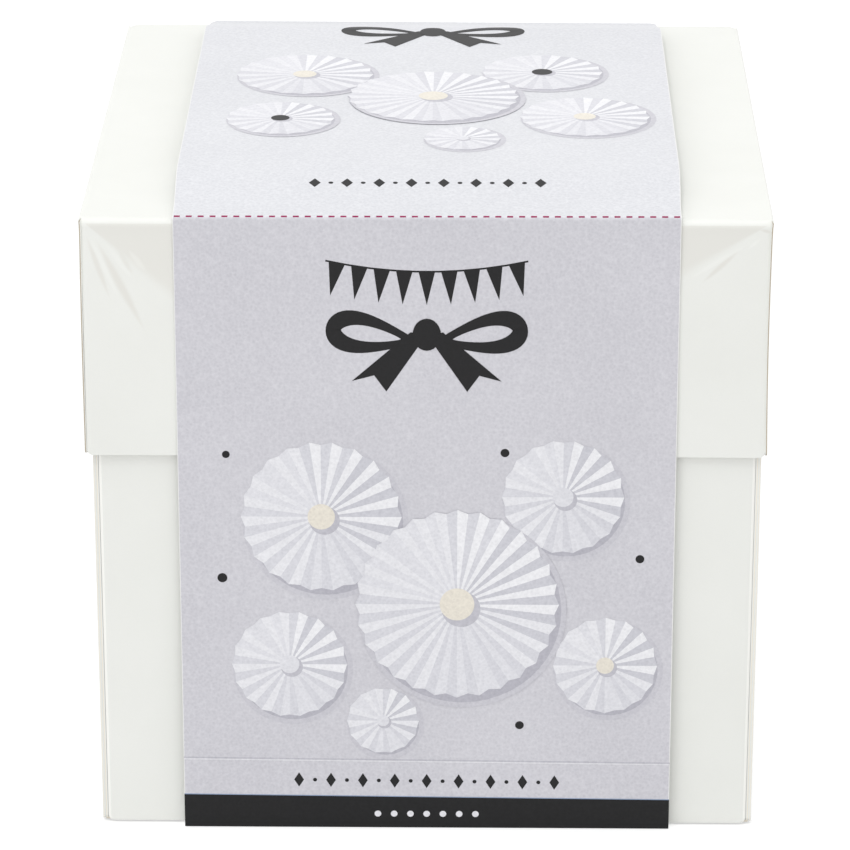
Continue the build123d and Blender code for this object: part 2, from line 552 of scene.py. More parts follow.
@dataclass(frozen=True)
class PrintFinish:
    """Printed paper: an ink tint with fine speckle under a faint satin coat; depths in millimetres."""

    name: str
    colour: Colour
    shaded: Colour
    roughness: float = 0.36
    specular: float = 0.5
    speckle: float = 0.6
    relief: float = 0.06
    relief_depth: float = 0.02
    fibre_scale: float = 1800.0
    mottle_scale: float = 45.0
    mottle: float = 0.3
    tone_range: float = 0.3

    def build(self, effects: Effects) -> bpy.types.Material:
        """Make the material.

        Args:
            effects: Shared node groups.

        Returns:
            The finished material.
        """
        blank = BlankMaterial(self.name)
        sheet = blank.sheet
        spot = blank.spot.outputs["Object"]
        fibre = sheet.group(
            effects.fibre,
            spot,
            Fibre_Scale=self.fibre_scale,
            Mottle_Scale=self.mottle_scale,
            Mottle_Amount=self.mottle,
        )
        dots = sheet.group(effects.speckle, spot)
        strength = sheet.maths("MULTIPLY", dots["Tone"], self.speckle)
        tone = sheet.remap(sheet.maths("ADD", strength, fibre["Tone"]), -self.tone_range, self.tone_range)
        colour = sheet.mix(tone, self.shaded, self.colour)
        normal = sheet.bump(fibre["Height"], self.relief, self.relief_depth)
        return blank.close_paper(colour, normal, self.roughness, self.specular)


class Finishes:
    """Every finish of the box by the name that the pieces use."""

    card = from_display(241, 242, 238)
    card_shade = from_display(233, 234, 229)
    cream = from_display(240, 237, 228)
    cream_shade = from_display(232, 228, 217)
    card_cut = from_display(229, 222, 207)
    ink_gain = (7, 7, 7)
    ink_loss = (15, 15, 14)
    board = {"roughness": 0.8, "specular": 0.2, "relief": 0.3}
    tints = {
        "band_tint": (209, 208, 214),
        # The top panel's tint is a lighter copy of the band's tint: painted light from above.
        "band_top_painted_light_tint": (221, 222, 226),
        "picture_white": (240, 240, 243),
        "picture_bright": (233, 233, 237),
        "picture_pale": (226, 226, 231),
        "picture_grey": (217, 217, 223),
        "picture_fold": (206, 206, 213),
        "picture_cream": (234, 228, 215),
        "shadow_soft": (203, 202, 209),
        "shadow_mid": (194, 193, 201),
        "shadow_deep": (183, 182, 191),
        # The score line's two rules: a painted highlight and a painted shade of the embossed crease.
        "score_painted_highlight": (229, 229, 233),
        "score_painted_shade": (190, 189, 198),
    }

    def __init__(self, lid_puckers: tuple[Pucker, ...]) -> None:
        """Build the materials.

        Args:
            lid_puckers: Wedges and creases at the upper front corners of the lid.
        """
        kinds = [
            CardFinish("lid_card", self.card, self.card_shade, puckers=lid_puckers),
            CardFinish("wall_card", self.card, self.card_shade),
            CardFinish("card_core", from_display(178, 160, 134), from_display(160, 141, 114), **self.board),
            CardFinish("wall_core", from_display(245, 240, 229), from_display(238, 232, 219), **self.board),
            # Lighter card for the end walls' upright edges: a painted highlight where the rolled edges turn.
            CardFinish("painted_edge_highlight", from_display(252, 252, 248), from_display(246, 246, 241)),
            CardFinish("gift_card", from_display(243, 243, 239), from_display(236, 236, 231)),
            PrintFinish("band_reverse", from_display(240, 240, 239), from_display(233, 233, 232), 0.6),
            PrintFinish("ink_black", from_display(34, 34, 35), from_display(27, 27, 28), 0.45, 0.18),
            PrintFinish("ink_charcoal", from_display(30, 29, 31), from_display(23, 23, 24), 0.42, 0.25),
            PrintFinish("ink_magenta", from_display(158, 46, 92), from_display(142, 38, 80), 0.5, 0.15),
            PrintFinish("ink_fringe", from_display(150, 168, 196), from_display(138, 156, 186), 0.4, 0.3),
        ]
        for name, tint in self.tints.items():
            light = from_display(*(min(255, channel + gain) for channel, gain in zip(tint, self.ink_gain)))
            dark = from_display(*(channel - loss for channel, loss in zip(tint, self.ink_loss)))
            kinds.append(PrintFinish(name, light, dark))
        inner = (("card", "xyz", self.card, self.card_shade), ("cream", "xy", self.cream, self.cream_shade))
        for kind, axes, plain, shade in inner:
            for axis, row in zip(axes, Matrix.Identity(3)):
                name = f"{kind}_facing_{axis}"
                facing = tuple(row)
                kinds.append(CardFinish(name, plain, shade, edge_colour=self.card_cut, sheet_normal=facing))
        effects = Effects()
        self.by_name = {kind.name: kind.build(effects) for kind in kinds}

    def pick(self, *names: str) -> list[bpy.types.Material]:
        """Materials of some finishes, in the order of their names."""
        return [self.by_name[name] for name in names]


def mesh_from(bm: bmesh.types.BMesh, name: str) -> bpy.types.Mesh:
    """Turn a bmesh into a mesh.

    Args:
        bm: Finished bmesh; it is freed here.
        name: Mesh's name.

    Returns:
        The mesh.
    """
    mesh = bpy.data.meshes.new(name)
    bm.to_mesh(mesh)
    bm.free()
    return mesh


def add_object(name: str, data: bpy.types.ID) -> bpy.types.Object:
    """Put an object in the scene.

    Args:
        name: Object's name.
        data: Its mesh, light or camera.

    Returns:
        The object.
    """
    item = bpy.data.objects.new(name, data)
    bpy.context.scene.collection.objects.link(item)
    return item


def add_piece(
    bm: bmesh.types.BMesh,
    name: str,
    body: str,
    materials: list[bpy.types.Material],
    node: str | None = None,
) -> None:
    """Turn a bmesh into a piece that rides on a body.

    Args:
        bm: Finished mesh in metres, in the frame's own place; it is freed here.
        name: Piece's name.
        body: Body that it moves with.
        materials: Materials by face index.
        node: Node that it stands for, if any.
    """
    mesh = mesh_from(bm, name)
    for material in materials:
        mesh.materials.append(material)
    piece = add_object(name, mesh)
    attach(piece, body)
    if node:
        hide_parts(node)
    log.info("%s rides on %s", name, body)


def join_into(bm: bmesh.types.BMesh, part: bmesh.types.BMesh) -> None:
    """Move one bmesh into another.

    Args:
        bm: Bmesh that grows.
        part: Bmesh that moves; it is freed here.
    """
    carrier = mesh_from(part, "carrier")
    bm.from_mesh(carrier)
    bpy.data.meshes.remove(carrier)


def slice_mesh(bm: bmesh.types.BMesh, axis: Vector, places: Iterable[float]) -> None:
    """Cut a mesh by parallel planes, so that it can bend smoothly.

    Args:
        bm: Mesh to cut.
        axis: Normal of the planes.
        places: Distance of each plane from the origin, in millimetres.
    """
    for place in places:
        everything = bm.verts[:] + bm.edges[:] + bm.faces[:]
        bmesh.ops.bisect_plane(bm, geom=everything, plane_co=axis * place * MM, plane_no=axis, dist=CUT_SNAP)


def spread(low: float, high: float, count: int) -> list[float]:
    """Evenly spaced places between two limits, without the limits."""
    return [low + (high - low) * step / count for step in range(1, count)]


def plain_sheet(width: float, height: float) -> bmesh.types.BMesh:
    """Make a flat rectangle about the origin in the XY plane, facing up.

    Args:
        width: Size along X in millimetres.
        height: Size along Y.

    Returns:
        The sheet, in metres.
    """
    bm = bmesh.new()
    bmesh.ops.create_grid(bm, x_segments=1, y_segments=1, size=0.5)
    bmesh.ops.scale(bm, vec=(width * MM, height * MM, 1), verts=bm.verts)
    return bm


def stand_up(bm: bmesh.types.BMesh, place: Vector) -> None:
    """Turn a flat sheet upright, facing forward, with its middle at a place in millimetres."""
    bmesh.ops.rotate(bm, matrix=Matrix.Rotation(QUARTER, 3, "X"), verts=bm.verts)
    bmesh.ops.translate(bm, vec=place * MM, verts=bm.verts)


def round_corners(bm: bmesh.types.BMesh, corners: list[bmesh.types.BMVert], radius: float) -> None:
    """Round some corners of a flat sheet."""
    bmesh.ops.bevel(
        bm,
        geom=corners,
        offset=radius * MM,
        segments=CORNER_STEPS,
        profile=0.5,
        affect="VERTICES",
        material=-1,
    )


def spin_edge(
    bm: bmesh.types.BMesh, edge: bmesh.types.BMEdge, centre: Vector, axis: Vector, angle: float, steps: int
) -> bmesh.types.BMEdge:
    """Sweep an edge of a sheet round an axis, as at a fold.

    Args:
        bm: Sheet's mesh.
        edge: Edge to sweep.
        centre: Point on the axis, in metres.
        axis: Direction of the axis.
        angle: Turn in radians.
        steps: Number of faces round the fold.

    Returns:
        The edge where the sweep ends.
    """
    bent = bmesh.ops.spin(
        bm,
        geom=[edge, *edge.verts],
        cent=centre,
        axis=axis,
        angle=angle,
        steps=steps,
        use_merge=False,
        use_duplicate=False,
    )
    return next(item for item in bent["geom_last"] if isinstance(item, bmesh.types.BMEdge))


def turn_sheet_out(bm: bmesh.types.BMesh, direction: Vector) -> None:
    """Make an open sheet's faces agree, and face on the whole along a direction.

    Args:
        bm: Sheet's mesh.
        direction: Way that it should face.
    """
    bmesh.ops.recalc_face_normals(bm, faces=bm.faces)
    if sum(face.normal.dot(direction) * face.calc_area() for face in bm.faces) < 0:
        bmesh.ops.reverse_faces(bm, faces=bm.faces)


def thicken(bm: bmesh.types.BMesh, thickness: float, printed: bool = False) -> None:
    """Give a sheet its thickness inwards and sharpen its cut edges.

    The board's core gets the face index CORE. It shows as a line along the cut edges of card,
    and everywhere but on the outer face of printed paper.

    Args:
        bm: Open sheet whose faces point outwards.
        thickness: Thickness in millimetres.
        printed: Whether the sheet is paper that is printed on its outer face.
    """
    outer = set(bm.faces)
    border = [edge for edge in bm.edges if edge.is_boundary]
    bmesh.ops.solidify(bm, geom=bm.faces[:], thickness=thickness * MM)
    if printed:
        bare = [face for face in bm.faces if face not in outer]
    else:
        rim = {face for edge in border for face in edge.link_faces if face not in outer}
        short = [edge for edge in bm.edges if all(face in rim for face in edge.link_faces)]
        cut = bmesh.ops.subdivide_edges(bm, edges=short, cuts=CORE_CUTS, use_grid_fill=True)
        fresh = {item for item in cut["geom_inner"] if isinstance(item, bmesh.types.BMVert)}
        bare = [face for face in bm.faces if all(vert in fresh for vert in face.verts)]
    for face in bare:
        face.material_index = CORE
    for face in bm.faces:
        face.smooth = True
    for edge in bm.edges:
        edge.smooth = edge.is_manifold and edge.calc_face_angle() < SHARP_ANGLE


@dataclass(frozen=True)
class Bow:
    """How far a sheet of card bends out of its plane, in millimetres.

    The middle swells out or sinks in, the ripple is uneven, the toe-in draws the lower edge
    inwards, the pinch is a hollow below the fold and the roll bends the upright edges back.
    """

    middle: float = 0.0
    ripple: float = 0.0
    toe_in: float = 0.0
    pinch: float = 0.0
    roll: float = 0.0
    pinch_height: float = 1.3
    pinch_fade: float = 8.0
    roll_share: float = 0.016
    roll_steps: int = 4
    wave_across: float = 2.3
    wave_up: float = 4.1
    toe_power: int = 6

    @property
    def roll_cuts(self) -> list[float]:
        """Find where the rolled edges need cuts.

        Returns:
            Places across the sheet, from -1 to 1.
        """
        numbers = range(1, self.roll_steps + 1) if self.roll else ()
        steps = [1 - self.roll_share * number / self.roll_steps for number in numbers]
        return [hand * step for step in steps for hand in (-1, 1)]

    def depth(self, across: float, up: float, height: float) -> float:
        """Outward shift of a point.

        Args:
            across: Place across the sheet, from -1 to 1.
            up: Place up the sheet, from 0 to 1.
            height: Height of the sheet.

        Returns:
            The shift in millimetres.
        """
        dome = (1 - across**2) * math.sin(math.pi * up)
        wave = math.sin(self.wave_across * across + self.wave_up * up) * dome
        down = (1 - up) * height
        slow, fast = (math.exp(-down / (scale * self.pinch_height)) for scale in (self.pinch_fade, 1))
        inward = self.toe_in * (1 - across**self.toe_power) * (1 - up) ** 2 + self.pinch * (slow - fast)
        edge = max(0.0, (abs(across) - 1 + self.roll_share) / self.roll_share)
        return self.middle * math.sin(math.pi * up) + self.ripple * wave - inward - self.roll * edge**2


@dataclass
class WallSheet:
    """Upright sheet of card with rounded lower corners, cut edges and a glued lining."""

    node: str
    side: Side
    materials: list[bpy.types.Material]
    half_width: float
    bottom: float
    top: float
    outer_face: float
    thickness: float
    corner_radius: float
    bow: Bow
    margin_width: float
    margin_thickness: float
    margin_setback: float
    margin_spare: float = 0.2
    highlight_width: float = 0.5
    cells: int = 24

    @property
    def middle_height(self) -> float:
        """Height of the sheet's middle."""
        return (self.bottom + self.top) / 2

    def build(self) -> None:
        """Make the sheet in place of its node."""
        height = self.top - self.bottom
        bm = plain_sheet(2 * self.half_width, height)
        round_corners(bm, [vert for vert in bm.verts if vert.co.y < 0], self.corner_radius)
        stand_up(bm, Vector((0, -self.outer_face, self.middle_height)))
        rolled = [share * self.half_width for share in self.bow.roll_cuts]
        slice_mesh(bm, ACROSS, [*spread(-self.half_width, self.half_width, self.cells), *rolled])
        slice_mesh(bm, UP, spread(self.bottom, self.top, self.cells))
        for vert in bm.verts:
            across = vert.co.x / (self.half_width * MM)
            up = (vert.co.z / MM - self.bottom) / height
            vert.co.y -= self.bow.depth(across, up, height) * MM
        turn_sheet_out(bm, FORWARD)
        # The third material, where there is one, paints a highlight along the upright edges.
        if len(self.materials) > ACCENT:
            self.paint_edge_highlights(bm)
        thicken(bm, self.thickness)
        self.add_margins(bm)
        bmesh.ops.transform(bm, matrix=self.side.turn, verts=bm.verts)
        add_piece(bm, f"{self.node}_card", self.node, self.materials, self.node)

    def paint_edge_highlights(self, bm: bmesh.types.BMesh) -> None:
        """Give the strips along both upright edges a lighter card finish, a painted highlight along the
        rolled edges.

        Args:
            bm: Open sheet.
        """
        line = self.half_width - self.highlight_width
        slice_mesh(bm, ACROSS, (-line, line))
        for face in bm.faces:
            face.material_index = ACCENT if abs(face.calc_center_median().x) > line * MM else SURFACE

    def add_margins(self, bm: bmesh.types.BMesh) -> None:
        """Add the margins of the lining that is glued along the sheet's upright edges.

        Args:
            bm: Sheet with its thickness.
        """
        height = self.top - self.bottom - self.margin_spare
        for hand in (-1, 1):
            strip = plain_sheet(self.margin_width, height)
            round_corners(strip, strip.verts[:], self.corner_radius - self.margin_setback)
            x = hand * (self.half_width - self.margin_width / 2 - self.margin_setback)
            stand_up(strip, Vector((x, self.thickness - self.outer_face, self.middle_height)))
            turn_sheet_out(strip, FORWARD)
            thicken(strip, self.margin_thickness)
            join_into(bm, strip)


@dataclass
class FoldedTray:
    """Tray folded from one sheet: a panel with four sides that hang from round folds.

    The front and back sides butt between the other two, whose cut edges show from the front.
    The tray is built with its panel on top, and turned over where it opens upwards.
    """

    node: str
    body: str
    slot: str
    materials: list[bpy.types.Material]
    half_width: float
    panel_face: float
    side_depth: float
    thickness: float
    fold_radius: float
    corner_radius: float
    opens_up: bool = False
    bows: dict[Side, Bow] = field(default_factory=dict)
    fold_radii: dict[Side, float] = field(default_factory=dict)
    fold_steps: int = 5
    panel_bow: float = 0.0
    cells: int = 20
    row_height: float = 3.0
    fewest_rows: int = 4
    tab_width: float = 0.0
    tab_taper: float = 4.0
    tab_thinness: float = 0.8
    joint_gap: float = 0.02
    side_corner_radius: float | None = None
    pinch_rows: tuple[float, ...] = (0.35, 0.8, 1.3, 1.9)
    left_stretch: float = 0.0
    corner_dip: float = 0.0
    corner_reach: float = 1.7
    dip_steps: tuple[float, ...] = (0.5, 1.0)

    def flat(self, side: Side) -> float:
        """Distance from the middle to where a side's fold starts."""
        return self.half_width - self.fold_radii.get(side, self.fold_radius)

    def shares(self, place: Vector) -> Vector:
        """Place in the panel's plane as shares of the distance to the folds.

        Args:
            place: Place in millimetres.

        Returns:
            The shares, beyond 1 past a fold.
        """
        across = self.flat(Side.RIGHT if place.x > 0 else Side.LEFT)
        along = self.flat(Side.BACK if place.y > 0 else Side.FRONT)
        return Vector((place.x / across, place.y / along, 0))

    def build(self) -> None:
        """Make the tray in place of its node."""
        sides = (Side.LEFT, Side.RIGHT, Side.FRONT, Side.BACK)
        left, right, front, back = (self.flat(side) for side in sides)
        bm = plain_sheet(left + right, front + back)
        bmesh.ops.translate(bm, vec=Vector((right - left, back - front, 0)) * MM / 2, verts=bm.verts)
        for side in Side:
            self.fold_side(bm, side)
        rolled = sorted({share for bow in self.bows.values() for share in bow.roll_cuts})
        for axis, low, high in ((ACROSS, left, right), (ALONG, front, back)):
            places = [share * (high if share > 0 else low) for share in rolled]
            slice_mesh(bm, axis, [*spread(-low, high, self.cells), *places, *self.dip_cuts])
        rows = max(self.fewest_rows, int(self.side_depth / self.row_height))
        pinched = [-self.fold_radius - drop for drop in self.pinch_rows] if self.bows else []
        slice_mesh(bm, UP, [*spread(-self.side_depth, -self.fold_radius, rows), *pinched])
        self.bend(bm)
        turn_sheet_out(bm, UP)
        thicken(bm, self.thickness)
        if self.tab_width:
            self.add_tabs(bm)
        if self.opens_up:
            bmesh.ops.rotate(bm, matrix=Matrix.Rotation(math.pi, 3, "X"), verts=bm.verts)
        bmesh.ops.translate(bm, vec=UP * (self.panel_face * MM), verts=bm.verts)
        for vert in bm.verts:
            vert.co.x -= max(0.0, -vert.co.x) * self.left_stretch / self.half_width
        add_piece(bm, f"{self.node}_card", self.body, self.materials, self.node)

    @property
    def dip_cuts(self) -> list[float]:
        """Places along both level axes where dipped corners need cuts."""
        steps = self.dip_steps if self.corner_dip else ()
        return [hand * (self.half_width - self.corner_reach * step) for hand in (-1, 1) for step in steps]

    def fold_side(self, bm: bmesh.types.BMesh, side: Side) -> None:
        """Fold one side down from the panel's edge and round its lower corners.

        Args:
            bm: Tray's mesh, with the panel in the XY plane.
            side: Side to fold.
        """
        flat = self.flat(side)
        radius = self.half_width - flat
        reach = flat * MM - TOUCH
        edge = next(
            edge
            for edge in bm.edges
            if all(vert.co.dot(side.outward) > reach and vert.co.z > -TOUCH for vert in edge.verts)
        )
        centre = side.outward * flat * MM - UP * radius * MM
        last = spin_edge(bm, edge, centre, side.along, -QUARTER, self.fold_steps)
        drop = bmesh.ops.extrude_edge_only(bm, edges=[last])["geom"]
        lower = [item for item in drop if isinstance(item, bmesh.types.BMVert)]
        bmesh.ops.translate(bm, vec=(0, 0, (radius - self.side_depth) * MM), verts=lower)
        own_radius = not side.is_end and self.side_corner_radius is not None
        round_corners(bm, lower, self.side_corner_radius if own_radius else self.corner_radius)

    def bend(self, bm: bmesh.types.BMesh) -> None:
        """Widen the sides to their butt joints, and bow them and the panel as folded card does.

        Args:
            bm: Tray's mesh, with the panel in the XY plane.
        """
        for vert in bm.verts:
            place = vert.co / MM
            gap = math.hypot(self.half_width - abs(place.x), self.half_width - place.y)
            near = max(0.0, 1 - gap / self.corner_reach) * max(0.0, 1 + place.z / self.corner_reach)
            vert.co.z -= self.corner_dip * near * MM
            shares = self.shares(place)
            if max(abs(shares.x), abs(shares.y)) < PAST_FOLD:
                sag = self.panel_bow * math.cos(QUARTER * shares.x) * math.cos(QUARTER * shares.y)
                vert.co.z += sag * MM
                continue
            for side in Side:
                if shares.dot(side.outward) >= PAST_FOLD:
                    self.shift_point(vert, side, place, shares)

    def shift_point(self, vert: bmesh.types.BMVert, side: Side, place: Vector, shares: Vector) -> None:
        """Move a point of one side outwards by the side's bow, and along it to the butt joint.

        Args:
            vert: Point to move.
            side: Side that the point is on.
            place: Place in millimetres before the panel is bent.
            shares: Place as shares of the distance to the folds.
        """
        across = shares.dot(side.along)
        up = min(1.0, max(0.0, 1 + place.z / self.side_depth))
        depth = self.bows.get(side, Bow()).depth(across, up, self.side_depth)
        reach = self.half_width - (self.thickness + self.joint_gap if side.is_end else 0)
        vert.co += side.outward * depth * MM
        vert.co += side.along * (across * reach - place.dot(side.along)) * MM

    def add_tabs(self, bm: bmesh.types.BMesh) -> None:
        """Add the glued tabs behind the corners of the front and back sides.

        Args:
            bm: Tray's mesh with its thickness, with the panel in the XY plane.
        """
        height = self.side_depth - self.fold_radius - 2 * self.corner_radius
        inner_face = self.half_width - self.thickness - self.joint_gap
        z = -self.fold_radius - self.corner_radius - height / 2
        for side in (Side.FRONT, Side.BACK):
            for hand in (-1, 1):
                tab = plain_sheet(self.tab_width, height)
                for vert in tab.verts:
                    if vert.co.x * hand < 0:
                        vert.co.y -= math.copysign(self.tab_taper * MM, vert.co.y)
                x = hand * (inner_face - self.tab_width / 2 - self.joint_gap)
                stand_up(tab, Vector((x, -inner_face, z)))
                turn_sheet_out(tab, FORWARD)
                bmesh.ops.transform(tab, matrix=side.turn, verts=tab.verts)
                thicken(tab, self.thickness * self.tab_thinness)
                join_into(bm, tab)


@dataclass(frozen=True)
class Profile:
    """Bend of a panel along one direction, in straight steps that its print can follow."""

    start: float
    end: float
    depth: float
    steps: int = 12

    @property
    def rows(self) -> list[float]:
        """Places in millimetres where the panel is cut."""
        return [self.start + (self.end - self.start) * number / self.steps for number in range(self.steps)]

    def shift(self, place: float) -> float:
        """Shift at a place: none at the start, all of the depth at the end.

        Args:
            place: Place in millimetres.

        Returns:
            The shift in millimetres.
        """
        share = max(0.0, min(1.0, (place - self.start) / (self.end - self.start))) * self.steps
        row = min(math.floor(share), self.steps - 1)
        low, high = (s * s * (3 - 2 * s) for s in (row / self.steps, (row + 1) / self.steps))
        return self.depth * (low + (high - low) * (share - row))


@dataclass
class Motifs:
    """Printed shapes, laid flat on one panel of the band, each a very thin layer of ink.

    The placing carries X across, Y up the print and Z outwards to the panel's place.
    """

    finishes: Finishes
    name: str
    body: str
    placing: Matrix
    palette: list[str] = field(default_factory=list)
    bm: bmesh.types.BMesh = field(default_factory=bmesh.new)
    ink: ClassVar[str] = "ink_charcoal"
    layer: ClassVar[float] = 0.012
    ink_depth: ClassVar[float] = 0.006
    merge_distance: ClassVar[float] = 1e-5
    facet_inks: ClassVar[tuple[str, ...]] = (
        "picture_fold",
        "picture_grey",
        "picture_pale",
        "picture_bright",
        "picture_white",
    )
    light_from: ClassVar[Vector] = Vector((-0.5, 0.85, 0))
    slope_light: ClassVar[float] = 0.62
    fold_light: ClassVar[float] = 0.16
    side_light: ClassVar[float] = 0.15
    full_light: ClassVar[float] = 0.75
    bow_tail: ClassVar[tuple[tuple[float, float], ...]] = (
        (0, 0),
        (0.4, -1.2),
        (0.52, -0.86),
        (0.74, -0.98),
        (0.16, 0.05),
    )

    def tint(self, name: str) -> int:
        """Face index of an ink.

        Args:
            name: Finish of the ink.

        Returns:
            The index, new or already in use.
        """
        if name not in self.palette:
            self.palette.append(name)
        return self.palette.index(name)

    def add(self, shape: bmesh.types.BMesh, x: float, y: float, turn: float = 0.0, lift: int = 0) -> None:
        """Lay a flat shape down and free it.

        Args:
            shape: Shape in millimetres in its own XY plane, with its inks set as face indices.
            x: Place across the panel.
            y: Place up the panel.
            turn: Turn about the shape's own middle, in radians.
            lift: Number of layers that it lies above the band.
        """
        solid = bmesh.ops.extrude_face_region(shape, geom=shape.faces[:])["geom"]
        raised = [item for item in solid if isinstance(item, bmesh.types.BMVert)]
        bmesh.ops.translate(shape, vec=(0, 0, self.ink_depth), verts=raised)
        bmesh.ops.remove_doubles(shape, verts=shape.verts, dist=self.merge_distance)
        bmesh.ops.recalc_face_normals(shape, faces=shape.faces)
        place = Matrix.Translation((x, y, (1 + lift) * self.layer)) @ Matrix.Rotation(turn, 4, "Z")
        bmesh.ops.transform(shape, matrix=self.placing @ Matrix.Scale(MM, 4) @ place, verts=shape.verts)
        join_into(self.bm, shape)

    def polygon(self, points: list[tuple[float, float]], ink: str) -> bmesh.types.BMesh:
        """Make a flat polygon in one ink.

        Args:
            points: Its corners in order.
            ink: Finish of the ink.

        Returns:
            The shape.
        """
        shape = bmesh.new()
        face = shape.faces.new([shape.verts.new((x, y, 0)) for x, y in points])
        face.material_index = self.tint(ink)
        return shape

    def disc(self, radius: float, ink: str, stretch: float = 1.0, sides: int = 48) -> bmesh.types.BMesh:
        """Make a flat disc or ellipse in one ink.

        Args:
            radius: Radius across the panel.
            ink: Finish of the ink.
            stretch: Radius up the panel, as a share of the other.
            sides: Number of corners.

        Returns:
            The shape.
        """
        shape = bmesh.new()
        bmesh.ops.create_circle(shape, cap_ends=True, radius=radius, segments=sides)
        bmesh.ops.scale(shape, vec=(1, stretch, 1), verts=shape.verts)
        for face in shape.faces:
            face.material_index = self.tint(ink)
        return shape

    def facet_level(self, centre: Vector, folds: int) -> int:
        """Pick the ink of one facet of a rosette by how it faces the light.

        Args:
            centre: Middle of the facet.
            folds: Number of folds round the rosette.

        Returns:
            The number of its ink, from dark to light.
        """
        step = int((math.atan2(centre.y, centre.x) % (2 * math.pi)) / (math.pi / folds))
        away = centre.normalized()
        hand = 1 if step % 2 else -1
        slope = hand * Vector((-away.y, away.x, 0)).dot(self.light_from)
        light = self.slope_light * slope + self.fold_light * hand
        light += self.side_light * away.dot(self.light_from)
        brightest = len(self.facet_inks) - 1
        level = round((light + self.full_light) / (2 * self.full_light) * brightest)
        return max(0, min(brightest, level))

    def rosette(self, x: float, y: float, radius: float, folds: int, lift: int, button: str) -> None:
        """Print a paper rosette: a fan of folds with a soft cast shadow and a round button.

        Args:
            x: Place across the panel.
            y: Place up the panel.
            radius: Outer radius.
            folds: Number of folds round the rosette.
            lift: Layers above the band.
            button: Ink of the button.
        """
        rim_dent, button_share, shade_share, shade_right, shade_down = 0.96, 0.17, 0.19, 0.04, 0.05
        shadow_share, shadow_least, shadow_fall, blur = 0.035, 0.25, 1.6, 0.5
        shift = shadow_share * radius + shadow_least
        for number, (ink, growth) in enumerate((("shadow_soft", blur), ("shadow_deep", -blur))):
            self.add(self.disc(radius + growth, ink), x + shift, y - shadow_fall * shift, 0, lift + number)
        shape = bmesh.new()
        bmesh.ops.create_circle(shape, cap_ends=True, cap_tris=True, radius=radius, segments=2 * folds)
        rim = [vert for vert in shape.verts if vert.co.length > radius / 2]
        rim.sort(key=lambda vert: math.atan2(vert.co.y, vert.co.x))
        for vert in rim[::2]:
            vert.co *= rim_dent
        for face in shape.faces:
            level = self.facet_level(face.calc_center_median(), folds)
            face.material_index = self.tint(self.facet_inks[level])
        self.add(shape, x, y, 0, lift + 2)
        shade = self.disc(radius * shade_share, "shadow_mid")
        self.add(shade, x + shade_right * radius, y - shade_down * radius, 0, lift + 3)
        self.add(self.disc(radius * button_share, button), x, y, 0, lift + 4)

    def diamonds(self, y: float, half_width: float, count: int, size: float, slope: float = 0.0) -> None:
        """Print a row of small diamonds with a dot between neighbours.

        Args:
            y: Place of the row up the panel.
            half_width: Place of the last diamond across it.
            count: Number of diamonds.
            size: Half the height of a diamond.
            slope: Rise of the row to the right.
        """
        narrowness, dot_share, dot_sides = 0.62, 0.26, 12
        corners = [(-size * narrowness, 0), (0, -size), (size * narrowness, 0), (0, size)]
        pitch = 2 * half_width / (count - 1)
        for number in range(count):
            x = -half_width + pitch * number
            self.add(self.polygon(corners, self.ink), x, y + slope * x, slope)
            if number < count - 1:
                middle = x + pitch / 2
                dot = self.disc(size * dot_share, self.ink, sides=dot_sides)
                self.add(dot, middle, y + slope * middle)

    def garland(self, y: float, half_width: float, count: int, length: float, sag: float) -> None:
        """Print a string of narrow pennants that hangs in a shallow arc.

        Args:
            y: Place of the string's ends up the panel.
            half_width: Place of an end across it.
            count: Number of pennants.
            length: Length of a pennant.
            sag: How far the string's middle hangs down.
        """
        string, overlap, flag_share = 0.32, 0.52, 0.36
        pitch = 2 * half_width / count
        reach, wide = pitch * overlap, pitch * flag_share
        cord = [(-reach, -string), (reach, -string), (reach, 0), (-reach, 0)]
        flag = [(-wide, -string), (0, -length), (wide, -string)]
        for number in range(count):
            x = -half_width + pitch * (number + 0.5)
            drop = sag * (1 - (x / half_width) ** 2)
            slope = math.atan(2 * sag * x / half_width**2)
            for corners in (cord, flag):
                self.add(self.polygon(corners, self.ink), x, y - drop, slope)

    def bow_loop(self, hand: int, half_width: float, height: float) -> bmesh.types.BMesh:
        """Make one loop of a bow: a ring that is slimmer towards the knot.

        Args:
            hand: Side that the loop is on, -1 or 1.
            half_width: Reach of a loop to either side.
            height: Height of a loop.

        Returns:
            The shape.
        """
        length_share, ribbon_share, knot_height, widening = 0.9, 0.15, 0.3, 0.95
        length = half_width * length_share
        loop = self.disc(length / 2, self.ink, height / length)
        bmesh.ops.inset_region(
            loop,
            faces=loop.faces[:],
            thickness=half_width * ribbon_share,
            use_boundary=True,
            use_even_offset=True,
        )
        hole = max(loop.faces, key=lambda face: len(face.verts))
        bmesh.ops.delete(loop, geom=[hole], context="FACES_ONLY")
        for vert in loop.verts:
            share = (vert.co.x * hand + length / 2) / length
            vert.co.y *= knot_height + widening * share
        return loop

    def ribbon_bow(self, y: float, half_width: float, height: float) -> None:
        """Print a bold bow with two loops, two tails and a knot.

        Args:
            y: Place of the knot up the panel.
            half_width: Reach of a loop to either side.
            height: Height of a loop.
        """
        loop_place, loop_turn, knot_share, knot_stretch, knot_sides = 0.55, 0.16, 0.14, 1.2, 24
        for hand in (-1, 1):
            loop = self.bow_loop(hand, half_width, height)
            self.add(loop, hand * half_width * loop_place, y, hand * loop_turn, 1 + hand)
            tail = [(hand * half_width * x, height * up) for x, up in self.bow_tail]
            self.add(self.polygon(tail, self.ink), 0, y, 0, 2 + hand)
        knot = self.disc(half_width * knot_share, self.ink, knot_stretch, knot_sides)
        self.add(knot, 0, y, 0, 4)

